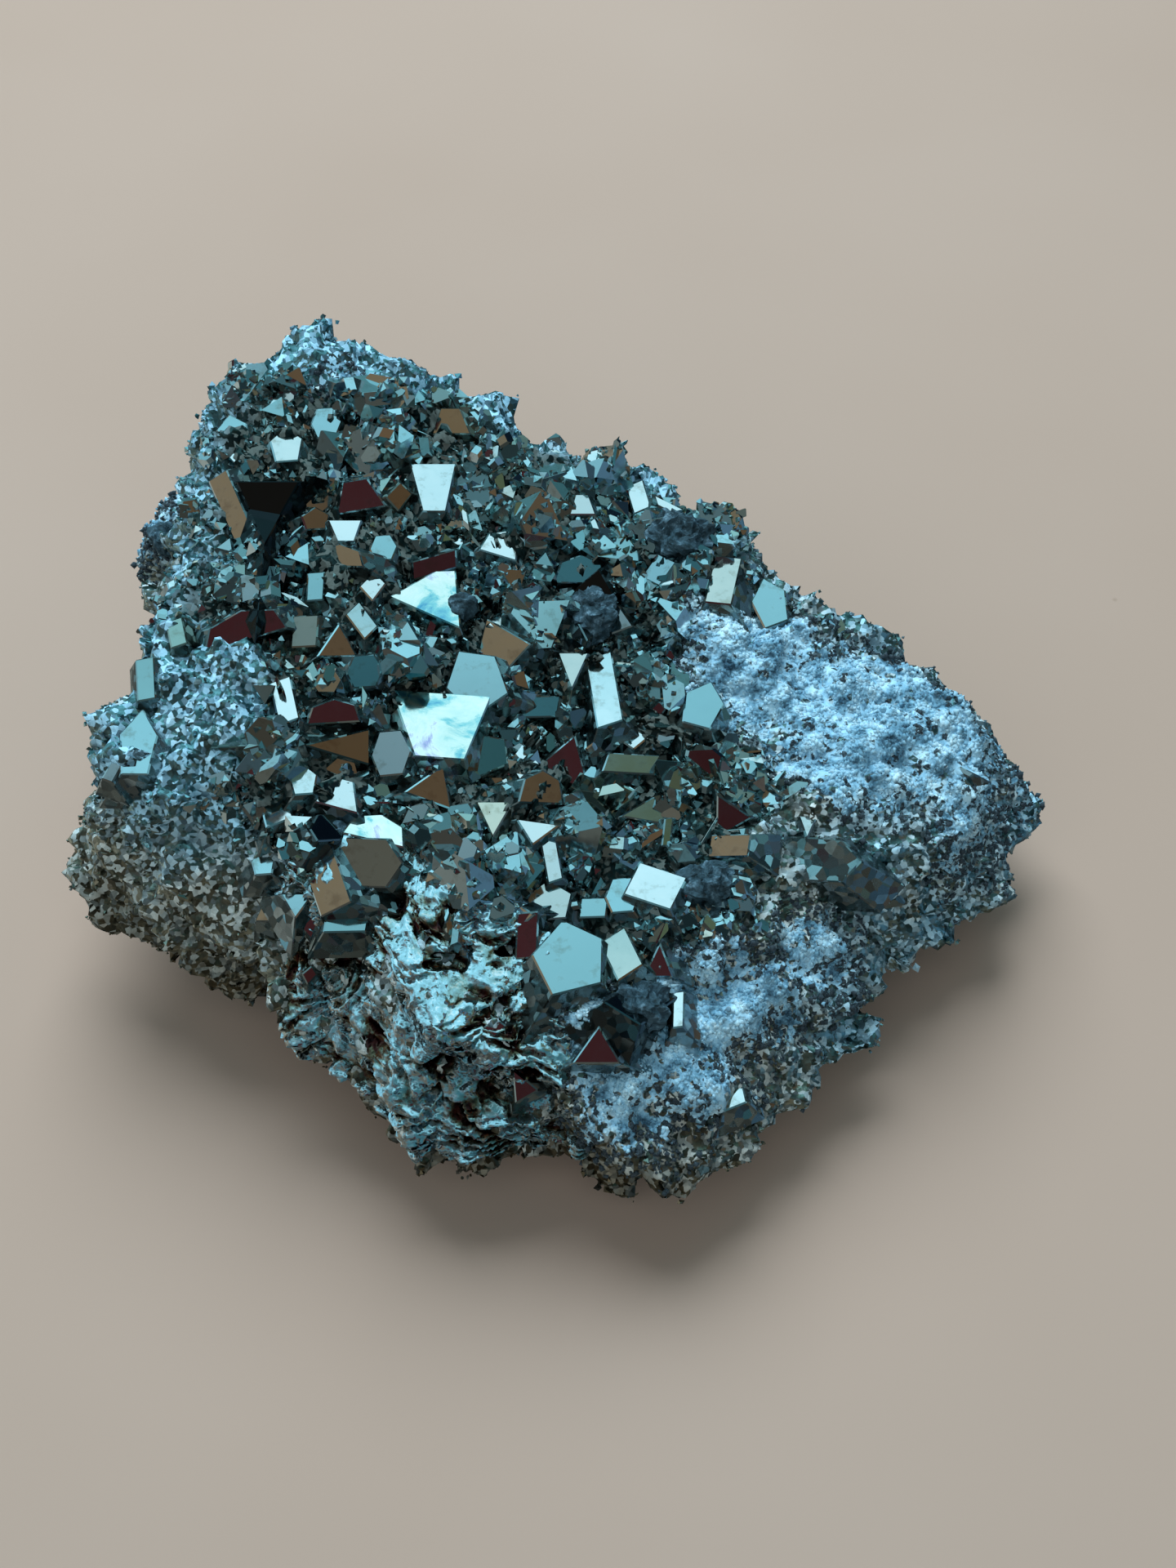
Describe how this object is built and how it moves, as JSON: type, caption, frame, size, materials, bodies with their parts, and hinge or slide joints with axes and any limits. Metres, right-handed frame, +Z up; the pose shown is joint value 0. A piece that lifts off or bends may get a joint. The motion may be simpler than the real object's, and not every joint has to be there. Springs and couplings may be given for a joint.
{
  "type": "raw pyrite specimen",
  "caption": "Rough pyrite specimen: a chunk with a druse of flat-faced mirror-bright crystals on top, a hackly front, granular sides and patches of sugary quartz.",
  "frame": {"origin": "the point of the table under the middle of the stone, on its broken resting face", "axes": "+Z up out of the table, +Y towards the higher end of the crystal face, +X towards the low end with the large quartz patch"},
  "size_m": [0.0615, 0.0591, 0.0242],
  "materials": {
    "pyrite": "pale brassy metallic crystal faces over dark granular pyrite, with matt white-blue quartz patches"
  },
  "bodies": {
    "root": {"pyrite_specimen": "pyrite"}
  },
  "joints": []
}
